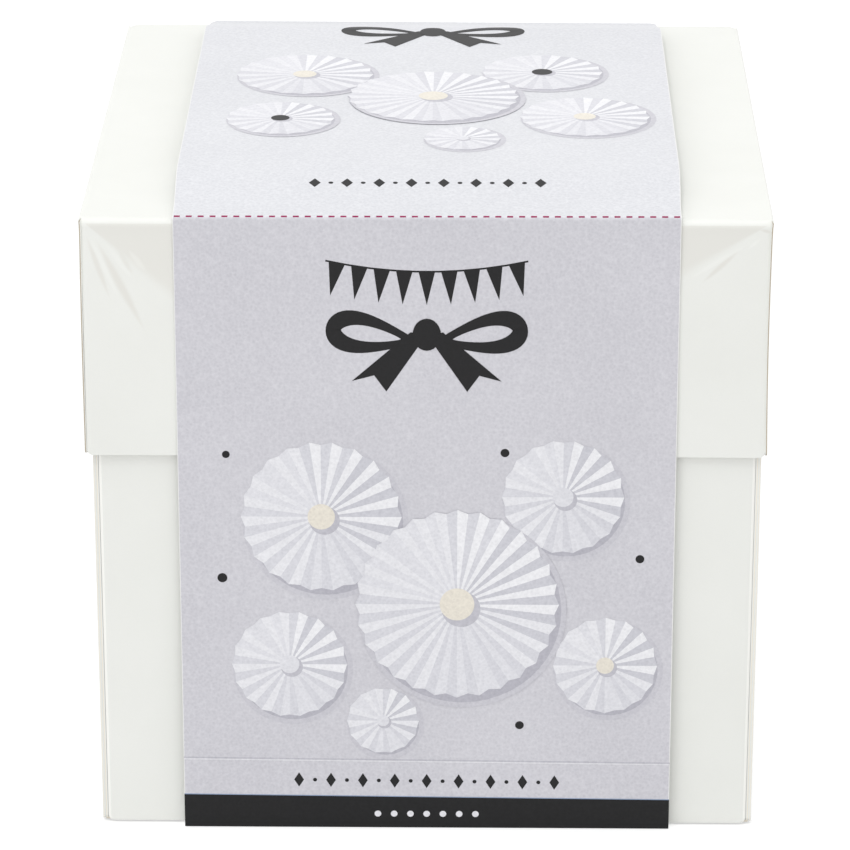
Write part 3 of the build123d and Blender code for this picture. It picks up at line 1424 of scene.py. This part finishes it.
    def follow(self, rows: list[float], along: Vector, push: Callable[[Vector], Vector]) -> None:
        """Cut the shapes where their panel is cut, and bend them with it.

        Args:
            rows: Places in millimetres where the panel is cut.
            along: Direction that the bend runs in.
            push: Shift in millimetres for a place in millimetres.
        """
        slice_mesh(self.bm, along, rows)
        for vert in self.bm.verts:
            vert.co += push(vert.co / MM) * MM

    def finish(self) -> None:
        """Turn the shapes into one piece that rides with its panel."""
        add_piece(self.bm, self.name, self.body, self.finishes.pick(*self.palette))


@dataclass
class PaperBand:
    """Printed band round the box: four panels that meet at creases.

    A rosette's row gives its place across and up the print, its radius, its folds, the layers
    that it lies above the band and the ink of its button. A dot's row gives its place and radius.
    The strip's dots have a radius, a pitch and a height, and the score lines' pitch is in widths.
    """

    finishes: Finishes
    half_width: float = 44.7
    paper: float = 0.24
    snugness: float = 0.1
    crease_radius: float = 0.7
    lower_radius: float = 0.25
    lower_steps: int = 4
    crease_lift: float = 0.6
    crease_tilt: float = 0.1
    back_lift: float = 0.42
    back_tilt: float = -0.12
    arch: float = 2.2
    shoulder_run: float = 22.0
    tail_run: float = 13.0
    top_spare: float = 0.45
    corner_droop: float = 1.1
    swell_depth: float = 0.6
    swell_start: float = 70.0
    bare_edge: float = 0.14
    strip_height: float = 6.32
    fringe_width: float = 0.16
    score_height: float = 13.42
    score_width: float = 0.2
    score_pitch: float = 1.6
    rule_spare: float = 0.02
    print_slope: float = -0.008
    dash_length: float = 1.05
    dash_pitch: float = 2.09
    dash_width: float = 0.34
    dash_reach: float = 0.43
    crease_steps: int = 5
    tint_step: int = 2
    dot_sides: int = 20
    strip_dots: tuple[float, float, float] = (0.62, 3.0, 2.9)
    front_face: float = field(init=False)
    top_face: float = field(init=False)
    shoulder: Profile = field(init=False)
    tail: Profile = field(init=False)
    swell: Profile = field(init=False)
    front_rosettes: ClassVar[tuple[RosetteRow, ...]] = (
        (-19.0, 62.0, 14.5, 22, 0, "picture_cream"),
        (24.5, 66.0, 11.0, 18, 0, "picture_pale"),
        (5.5, 45.0, 18.5, 28, 5, "picture_cream"),
        (-25.0, 33.0, 10.5, 18, 0, "picture_pale"),
        (32.5, 33.0, 9.5, 16, 0, "picture_cream"),
        (-8.0, 21.8, 6.6, 14, 0, "picture_pale"),
    )
    top_rosettes: ClassVar[tuple[RosetteRow, ...]] = (
        (-24.0, 17.0, 13.0, 20, 0, "picture_cream"),
        (21.0, 19.0, 11.5, 18, 0, "ink_charcoal"),
        (0.5, 3.0, 16.0, 26, 5, "picture_cream"),
        (-27.5, -11.0, 10.0, 18, 0, "ink_charcoal"),
        (28.5, -9.5, 12.0, 20, 0, "picture_cream"),
        (6.0, -23.0, 7.0, 14, 0, "picture_pale"),
    )
    confetti: ClassVar[tuple[DotRow, ...]] = (
        (-37.0, 50.0, 0.9),
        (38.5, 54.0, 0.8),
        (14.0, 74.5, 0.8),
        (-36.0, 74.0, 0.7),
        (17.0, 21.0, 0.8),
    )

    def __post_init__(self) -> None:
        """Read the band's place from the frame."""
        low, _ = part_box("band_front")
        _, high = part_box("band_top")
        self.front_face = -low.y / MM - self.snugness
        self.top_face = high.z / MM - self.snugness
        self.shoulder = Profile(-self.reach, -self.reach + self.shoulder_run, 1.0)
        self.tail = Profile(self.reach, self.reach - self.tail_run, 1.0)
        self.swell = Profile(self.swell_start, 0.0, self.swell_depth)

    @property
    def reach(self) -> float:
        """Distance from the middle to where the upper creases start."""
        return self.front_face - self.crease_radius

    @property
    def arch_rows(self) -> list[float]:
        """Places from front to back where the top panel and its print are cut."""
        return [*self.shoulder.rows, *self.tail.rows, self.shoulder.end, self.tail.end]

    def lifted(self, place: Vector) -> Vector:
        """Shift of a point of the top panel, which arches over the lid and droops at its back corners.

        Args:
            place: Place in millimetres.

        Returns:
            The shift in millimetres.
        """
        across = place.x / self.half_width
        back = max(0.0, min(1.0, (place.y + self.front_face) / (2 * self.front_face)))
        front_lift = self.crease_lift + self.crease_tilt * across
        back_lift = self.back_lift + self.back_tilt * across
        arched = self.shoulder.shift(place.y) * self.tail.shift(place.y)
        lift = front_lift + (back_lift - front_lift) * back + self.arch * arched
        side_gap = min(1.0, (self.half_width - abs(place.x)) / self.corner_droop)
        last = max(0.0, 1 - (self.front_face - place.y) / self.corner_droop / 2)
        return Vector((across * self.top_spare * arched, 0, lift * (1 - last * (1 - max(0.0, side_gap)))))

    def swollen(self, place: Vector) -> Vector:
        """Shift of a point of the front panel, which stands off the box below the lid."""
        return Vector((0, -self.swell.shift(place.z), 0))

    def rounded(self, place: Vector) -> Vector:
        """Shift of a printed point past the start of the front crease, onto the rounded paper.

        Args:
            place: Place in millimetres.

        Returns:
            The shift in millimetres.
        """
        past = -place.y - self.reach
        if past <= 0:
            return Vector()
        angle = past / self.crease_radius
        arm = self.crease_radius + (place.z - self.top_face)
        return Vector((0, past - arm * math.sin(angle), arm * math.cos(angle) - arm))

    def bare_edges(self, bm: bmesh.types.BMesh, keep: int) -> None:
        """Leave the paper bare along both side edges, but for faces of one ink.

        Args:
            bm: Panel's mesh.
            keep: Face index of the ink that reaches the edges.
        """
        line = self.half_width - self.bare_edge
        slice_mesh(bm, ACROSS, (-line, line))
        for face in bm.faces:
            if abs(face.calc_center_median().x) > line * MM and face.material_index != keep:
                face.material_index = CORE

    def droop_cuts(self, bm: bmesh.types.BMesh) -> None:
        """Cut a panel where its corners start to droop."""
        line = self.half_width - self.corner_droop
        slice_mesh(bm, ACROSS, (-line, line))

    def add_panel(self, bm: bmesh.types.BMesh, node: str, *inks: str) -> None:
        """Give a panel its thickness and put it in place of its node."""
        thicken(bm, self.paper, printed=True)
        add_piece(bm, f"{node}_paper", node, self.finishes.pick(*inks), node)

    def build(self) -> None:
        """Make the panels and their print."""
        self.upright_panel(Side.FRONT)
        self.upright_panel(Side.BACK)
        self.top_panel()
        self.bottom_panel()
        self.print_front()
        self.print_top()

    def upright_panel(self, side: Side) -> None:
        """Make the front or back panel, black at its lower end, with a round crease under the box.

        Args:
            side: Front or back.
        """
        bottom, top = self.lower_radius, self.top_face - self.crease_radius
        bm = plain_sheet(2 * self.half_width, top - bottom)
        stand_up(bm, Vector((0, -self.front_face, (bottom + top) / 2)))
        low_edge = min(bm.edges, key=lambda edge: sum(vert.co.z for vert in edge.verts))
        centre = Vector((0, -self.front_face + self.lower_radius, bottom)) * MM
        spin_edge(bm, low_edge, centre, ACROSS, QUARTER, self.lower_steps)
        slope = self.print_slope if side is Side.FRONT else 0.0
        rise = Vector((-slope, 0, 1)).normalized()
        slice_mesh(bm, rise, [self.strip_height * rise.z])
        for face in bm.faces:
            in_strip = (face.calc_center_median() / MM).dot(rise) < self.strip_height
            face.material_index = ACCENT if in_strip else SURFACE
        self.bare_edges(bm, keep=ACCENT)
        if side is Side.FRONT:
            slice_mesh(bm, UP, self.swell.rows)
        self.droop_cuts(bm)
        for vert in bm.verts:
            place = vert.co / MM
            if side is Side.FRONT:
                vert.co += self.swollen(place) * MM
            if place.z > top - HAIR:
                vert.co += self.lifted(side.turn @ Vector((place.x, -self.front_face, 0))) * MM
        turn_sheet_out(bm, FORWARD)
        bmesh.ops.transform(bm, matrix=side.turn, verts=bm.verts)
        self.add_panel(bm, f"band_{side.label}", "band_tint", "band_reverse", "ink_black")

    def top_panel(self) -> None:
        """Make the panel over the lid, whose ends turn down at the creases."""
        bm = plain_sheet(2 * self.half_width, 2 * self.reach)
        bmesh.ops.translate(bm, vec=UP * (self.top_face * MM), verts=bm.verts)
        for hand in (-1, 1):
            limit = (self.reach - HAIR) * MM
            edge = next(edge for edge in bm.edges if all(vert.co.y * hand > limit for vert in edge.verts))
            centre = Vector((0, hand * self.reach, self.top_face - self.crease_radius)) * MM
            spin_edge(bm, edge, centre, ACROSS, -hand * QUARTER, self.crease_steps)
        turned = QUARTER * self.tint_step / self.crease_steps
        front_line = -self.reach - self.crease_radius * math.sin(turned)
        slice_mesh(bm, ALONG, [*self.arch_rows, front_line, self.reach - self.corner_droop])
        # Forward-turned crease faces take the front's tint; the rest of the panel takes the lighter copy,
        # painted light from above.
        for face in bm.faces:
            face.material_index = ACCENT if face.calc_center_median().y < front_line * MM else SURFACE
        self.bare_edges(bm, keep=CORE)
        self.droop_cuts(bm)
        for vert in bm.verts:
            vert.co += self.lifted(vert.co / MM) * MM
        turn_sheet_out(bm, UP)
        self.add_panel(bm, "band_top", "band_top_painted_light_tint", "band_reverse", "band_tint")

    def bottom_panel(self) -> None:
        """Make the panel under the box."""
        depth = 2 * (self.front_face - self.lower_radius) + self.swell_depth
        bm = plain_sheet(2 * self.half_width, depth)
        bmesh.ops.translate(bm, vec=FORWARD * (self.swell_depth / 2 * MM), verts=bm.verts)
        turn_sheet_out(bm, -UP)
        self.add_panel(bm, "band_bottom", "band_tint", "band_reverse")

    def print_rules(self, motifs: Motifs) -> None:
        """Print the double score line, a pale rule for its painted highlight and a darker rule for its
        painted shade, and the fringe above the black strip.

        Args:
            motifs: Print of the front panel.
        """
        edge = self.half_width - self.rule_spare
        rules = (
            ("score_painted_highlight", self.score_height, self.score_width),
            ("score_painted_shade", self.score_height + self.score_pitch * self.score_width, self.score_width),
            ("ink_fringe", self.strip_height, self.fringe_width),
        )
        for ink, low, width in rules:
            high = low + width
            corners = ((-edge, low), (edge, low), (edge, high), (-edge, high))
            motifs.add(motifs.polygon([(x, y + self.print_slope * x) for x, y in corners], ink), 0, 0)

    def print_front(self) -> None:
        """Print the front panel: garland and bow, paper rosettes, and small rows below."""
        upright = Matrix.Translation((0, -self.front_face * MM, 0)) @ Matrix.Rotation(QUARTER, 4, "X")
        motifs = Motifs(self.finishes, "print_front", "band_front", upright)
        motifs.garland(y=111.0, half_width=17.8, count=9, length=6.4, sag=2.0)
        motifs.ribbon_bow(y=97.0, half_width=18.0, height=9.0)
        for row in self.front_rosettes:
            motifs.rosette(*row)
        for x, y, radius in self.confetti:
            motifs.add(motifs.disc(radius, motifs.ink, sides=self.dot_sides), x, y)
        motifs.diamonds(y=9.6, half_width=23.5, count=9, size=1.45, slope=self.print_slope)
        self.print_rules(motifs)
        radius, pitch, height = self.strip_dots
        for number in range(-3, 4):
            dot = motifs.disc(radius, "picture_bright", sides=self.dot_sides)
            motifs.add(dot, number * pitch, height)
        motifs.follow(self.swell.rows, UP, self.swollen)
        motifs.finish()

    def print_top(self) -> None:
        """Print the top panel, which reads from the front: bow, rosettes and a tear line."""
        flat = Matrix.Translation((0, 0, self.top_face * MM))
        motifs = Motifs(self.finishes, "print_top", "band_top", flat)
        motifs.ribbon_bow(y=46.0, half_width=18.0, height=8.5)
        for row in self.top_rosettes:
            motifs.rosette(*row)
        motifs.diamonds(y=-47.0, half_width=20.0, count=8, size=1.7)
        count = int((2 * self.half_width - self.dash_length) / self.dash_pitch) + 1
        long, wide = self.dash_length / 2, self.dash_width / 2
        corners = [(-long, -wide), (long, -wide), (long, wide), (-long, wide)]
        for number in range(count):
            x = (number - (count - 1) / 2) * self.dash_pitch
            motifs.add(motifs.polygon(corners, "ink_magenta"), x, -self.reach - self.dash_reach)
        past_crease = -self.reach - self.crease_radius * QUARTER
        crease_rows = [-self.reach, *spread(past_crease, -self.reach, self.crease_steps)]
        motifs.follow(crease_rows, ALONG, self.rounded)
        motifs.follow(self.arch_rows, ALONG, self.lifted)
        motifs.finish()


@dataclass(frozen=True)
class LidCorners:
    """Painted shade wedges and soft creases below the lid's upper front corners, where the card was pulled
    tight.

    A crease's row gives its start and its end as steps inwards and down from the corner, its
    width, and its strength, which is above 0 for a painted highlight and below 0 for a painted shade.
    """

    reach: float = 34.0
    left_angle: float = 0.72
    right_angle: float = 0.55
    left_rows: tuple[CreaseRow, ...] = (
        ((1.3, 2.4), (6.9, 15.6), 0.8, 0.26),
        ((0.6, 1.8), (5.3, 15.8), 0.75, -0.85),
        ((2.2, 2.6), (11.5, 21.8), 1.1, -0.95),
        ((3.9, 3.9), (9.4, 11.6), 0.85, 0.22),
        ((6.2, 4.8), (9.4, 10.8), 0.75, -0.6),
        ((8.0, 5.2), (11.9, 10.2), 0.8, 0.28),
    )
    right_rows: tuple[CreaseRow, ...] = (
        ((3.2, 3.4), (15.9, 11.4), 0.7, 0.26),
        ((5.4, 4.8), (13.0, 11.9), 0.7, -0.9),
        ((2.0, 2.8), (4.9, 5.5), 0.5, 0.3),
        ((2.9, 1.4), (-0.3, 2.2), 0.5, -1.0),
    )

    def pucker(self, hand: int, angle: float, rows: tuple[CreaseRow, ...]) -> Pucker:
        """Place the wedge and creases of one corner.

        Args:
            hand: Side of the corner, -1 or 1.
            angle: Angle of the wedge below the fold.
            rows: Rows of its creases.

        Returns:
            The corner's pucker.
        """
        low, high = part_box("lid")
        corner = Vector((hand * high.x, low.y, high.z)) / MM
        creases = []
        for start, end, width, strength in rows:
            ends = (tuple(corner + Vector((-hand * x, 0, -down))) for x, down in (start, end))
            creases.append(Crease(*ends, width, strength))
        return Pucker(tuple(corner), angle, self.reach, tuple(creases))

    def puckers(self) -> tuple[Pucker, ...]:
        """Both corners' puckers."""
        left = self.pucker(-1, self.left_angle, self.left_rows)
        return left, self.pucker(1, self.right_angle, self.right_rows)


@dataclass
class OuterBox:
    """Lid and the four wall sheets, which the camera sees first."""

    finishes: Finishes
    card: float = 0.4
    end_wall_corner: float = 1.1
    side_wall_corner: float = 1.2
    end_wall_bow: Bow = Bow(ripple=0.02, roll=0.22)
    wall_margin: float = 3.4
    end_margin_thickness: float = 0.3
    side_margin_thickness: float = 0.55
    end_margin_setback: float = 0.9
    side_margin_setback: float = 0.12
    lid_corner: float = 1.1
    lid_side_corner: float = 1.5
    lid_fold: float = 1.25
    lid_side_fold: float = 0.4
    lid_left_stretch: float = 0.35
    lid_panel_bow: float = -0.3
    lid_corner_dip: float = 0.6
    lid_tab: float = 15.0
    lid_bows: ClassVar[dict[Side, Bow]] = {
        Side.FRONT: Bow(ripple=0.05, toe_in=0.2, pinch=0.25, roll=0.16),
        Side.RIGHT: Bow(middle=-0.28, ripple=0.1, pinch=0.15),
        Side.BACK: Bow(ripple=0.05, roll=0.05),
        Side.LEFT: Bow(middle=0.05, ripple=0.1, pinch=0.15),
    }

    def build(self) -> None:
        """Make the lid and the walls."""
        low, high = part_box("lid")
        FoldedTray(
            node="lid",
            body="lid",
            slot="lid_card",
            materials=self.finishes.pick("lid_card", "card_core"),
            half_width=high.x / MM,
            panel_face=high.z / MM,
            side_depth=(high.z - low.z) / MM,
            thickness=self.card,
            fold_radius=self.lid_fold,
            fold_radii={side: self.lid_side_fold for side in (Side.RIGHT, Side.BACK, Side.LEFT)},
            corner_radius=self.lid_corner,
            side_corner_radius=self.lid_side_corner,
            bows=self.lid_bows,
            panel_bow=self.lid_panel_bow,
            corner_dip=self.lid_corner_dip,
            tab_width=self.lid_tab,
            left_stretch=self.lid_left_stretch,
        ).build()
        for side in Side:
            self.wall(side)

    def wall(self, side: Side) -> None:
        """Make the outer sheet of one wall.

        Args:
            side: Side of the box.
        """
        node = f"wall_{side.label}"
        low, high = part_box(node)
        end = side.is_end
        WallSheet(
            node=node,
            side=side,
            # End walls also take a lighter card for their upright edges, a painted highlight.
            materials=self.finishes.pick("wall_card", "wall_core", *(["painted_edge_highlight"] if end else [])),
            half_width=max(abs(low.dot(side.along)), abs(high.dot(side.along))) / MM,
            bottom=low.z / MM,
            top=high.z / MM,
            outer_face=max(low.dot(side.outward), high.dot(side.outward)) / MM,
            thickness=self.card,
            corner_radius=self.end_wall_corner if end else self.side_wall_corner,
            bow=self.end_wall_bow if end else Bow(),
            margin_width=self.wall_margin,
            margin_thickness=self.end_margin_thickness if end else self.side_margin_thickness,
            margin_setback=self.end_margin_setback if end else self.side_margin_setback,
        ).build()


@dataclass
class GiftBox:
    """Small box on the base and its lid."""

    finishes: Finishes
    card: float = 0.4
    fold: float = 0.6
    corner: float = 0.8
    cells: int = 10

    def build(self) -> None:
        """Make both trays."""
        for node, body, opens_up in (("gift_box", "base", True), ("gift_lid", "gift_lid", False)):
            low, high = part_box(node)
            FoldedTray(
                node=node,
                body=body,
                slot="gift_card",
                materials=self.finishes.pick("gift_card", "card_core"),
                half_width=high.x / MM,
                panel_face=(low.z if opens_up else high.z) / MM,
                side_depth=(high.z - low.z) / MM,
                thickness=self.card,
                fold_radius=self.fold,
                corner_radius=self.corner,
                opens_up=opens_up,
                cells=self.cells,
            ).build()


@dataclass
class InnerSheets:
    """Pockets, pull-out cards, hearts and base, which keep the frame's own shapes."""

    finishes: Finishes

    def build(self) -> None:
        """Dress every inner node in card with pale brown cut edges."""
        for name, node in sorted(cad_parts.items()):
            if node.hide_render:
                continue
            low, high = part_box(name)
            _, axis = min(zip(high - low, "xyz"))
            kind = "cream" if name.startswith("pocket") else "card"
            finish = f"{kind}_facing_{axis}"
            node.data.materials.clear()
            node.data.materials.append(self.finishes.by_name[finish])
            log.info("%s dressed in %s", name, finish)


@dataclass
class Studio:
    """White floor, soft light and the photograph's camera."""

    camera_place: Place = (8.35, -802.1, 370.3)
    camera_pitch: float = 21.41
    camera_yaw: float = 0.67
    focal_pixels: float = 4456.0
    image_width: float = 850.0
    sensor: float = 36.0
    nearest: float = 50.0
    farthest: float = 50000.0
    floor_size: float = 12000.0
    floor_drop: float = 0.02
    floor_grey: float = 0.8
    seen_floor_grey: float = 0.66
    floor_glow: float = 0.46
    front_lamp_place: Place = (-560, -640, 330)
    front_lamp_size: float = 420.0
    front_lamp_power: float = 0.6
    top_lamp_place: Place = (-300, -1100, 3940)
    top_lamp_size: float = 2500.0
    top_lamp_power: float = 69.0
    lamp_aim_height: float = 60.0
    world_light: float = 0.744

    def build(self) -> None:
        """Make the stage, the lights and the camera."""
        self.floor()
        self.world()
        self.lamp("front_lamp", self.front_lamp_place, self.front_lamp_size, self.front_lamp_power)
        self.lamp("top_lamp", self.top_lamp_place, self.top_lamp_size, self.top_lamp_power)
        self.camera()
        bpy.context.scene.view_settings.view_transform = "Standard"
        log.info("studio")

    @staticmethod
    def seen_share(sheet: NodeSheet) -> bpy.types.NodeSocket:
        """Find which rays come from the camera, from reflections or through glass.

        Args:
            sheet: Node sheet of the floor or the world.

        Returns:
            A share of 1 for these rays, and 0 for others.
        """
        path = sheet.add("ShaderNodeLightPath").outputs
        seen = sheet.maths("ADD", path["Is Camera Ray"], path["Is Glossy Ray"])
        return sheet.maths("MINIMUM", sheet.maths("ADD", seen, path["Is Transmission Ray"]), 1.0)

    def floor(self) -> None:
        """Make the white floor, which keeps the object's soft shadow and is clear from below."""
        bm = plain_sheet(self.floor_size, self.floor_size)
        bmesh.ops.translate(bm, vec=UP * (-self.floor_drop * MM), verts=bm.verts)
        mesh = mesh_from(bm, "floor")
        floor = add_object("floor", mesh)
        blank = BlankMaterial("studio_floor")
        sheet = blank.sheet
        seen = self.seen_share(sheet)
        greys = ((grey, grey, grey) for grey in (self.floor_grey, self.seen_floor_grey))
        matte = sheet.add("ShaderNodeBsdfDiffuse", Color=sheet.mix(seen, *greys))
        glow = sheet.add(
            "ShaderNodeEmission",
            Color=with_alpha((1, 1, 1)),
            Strength=sheet.maths("MULTIPLY", seen, self.floor_glow),
        )
        both = sheet.add("ShaderNodeAddShader", matte.outputs[0], glow.outputs[0])
        underside = sheet.add("ShaderNodeNewGeometry").outputs["Backfacing"]
        clear = sheet.add("ShaderNodeBsdfTransparent").outputs[0]
        one_sided = sheet.add("ShaderNodeMixShader", underside, both.outputs[0], clear)
        mesh.materials.append(blank.close(one_sided.outputs[0]))

    def world(self) -> None:
        """Make even light from all round, and plain white behind the object."""
        world = bpy.data.worlds.new("studio")
        bpy.context.scene.world = world
        world.use_nodes = True
        world.node_tree.nodes.clear()
        sheet = NodeSheet(world.node_tree)
        extra = sheet.maths("MULTIPLY", self.seen_share(sheet), 1 - self.world_light)
        strength = sheet.maths("ADD", self.world_light, extra)
        backdrop = sheet.add("ShaderNodeBackground", Color=with_alpha((1, 1, 1)), Strength=strength)
        sheet.add("ShaderNodeOutputWorld", Surface=backdrop.outputs[0])

    def lamp(self, name: str, place: Place, size: float, power: float) -> None:
        """Make a square area lamp that faces the box.

        Args:
            name: Lamp's name.
            place: Place in millimetres.
            size: Side of the lamp in millimetres.
            power: Power in watts.
        """
        light = bpy.data.lights.new(name, "AREA")
        light.size = size * MM
        light.energy = power
        lamp = add_object(name, light)
        lamp.location = Vector(place) * MM
        towards = UP * (self.lamp_aim_height * MM) - lamp.location
        lamp.rotation_euler = towards.to_track_quat("-Z", "Y").to_euler()
        lamp.visible_camera = False

    def camera(self) -> None:
        """Make the long-lens camera at the photograph's angle."""
        data = bpy.data.cameras.new("photo_camera")
        data.sensor_width = self.sensor
        data.lens = self.focal_pixels / self.image_width * self.sensor
        data.clip_start = self.nearest * MM
        data.clip_end = self.farthest * MM
        camera = add_object("photo_camera", data)
        yaw, pitch = math.radians(self.camera_yaw), math.radians(self.camera_pitch)
        turn = Matrix.Rotation(yaw, 4, "Z") @ Matrix.Rotation(QUARTER - pitch, 4, "X")
        camera.matrix_world = Matrix.Translation(Vector(self.camera_place) * MM) @ turn
        bpy.context.scene.camera = camera


def main() -> None:
    """Build every piece, the studio and the camera."""
    logging.basicConfig(level=logging.INFO, format="%(name)s: %(message)s")
    finishes = Finishes(LidCorners().puckers())
    for assembly in (OuterBox, GiftBox, PaperBand, InnerSheets):
        assembly(finishes).build()
    Studio().build()


if __name__ == "__main__":
    main()
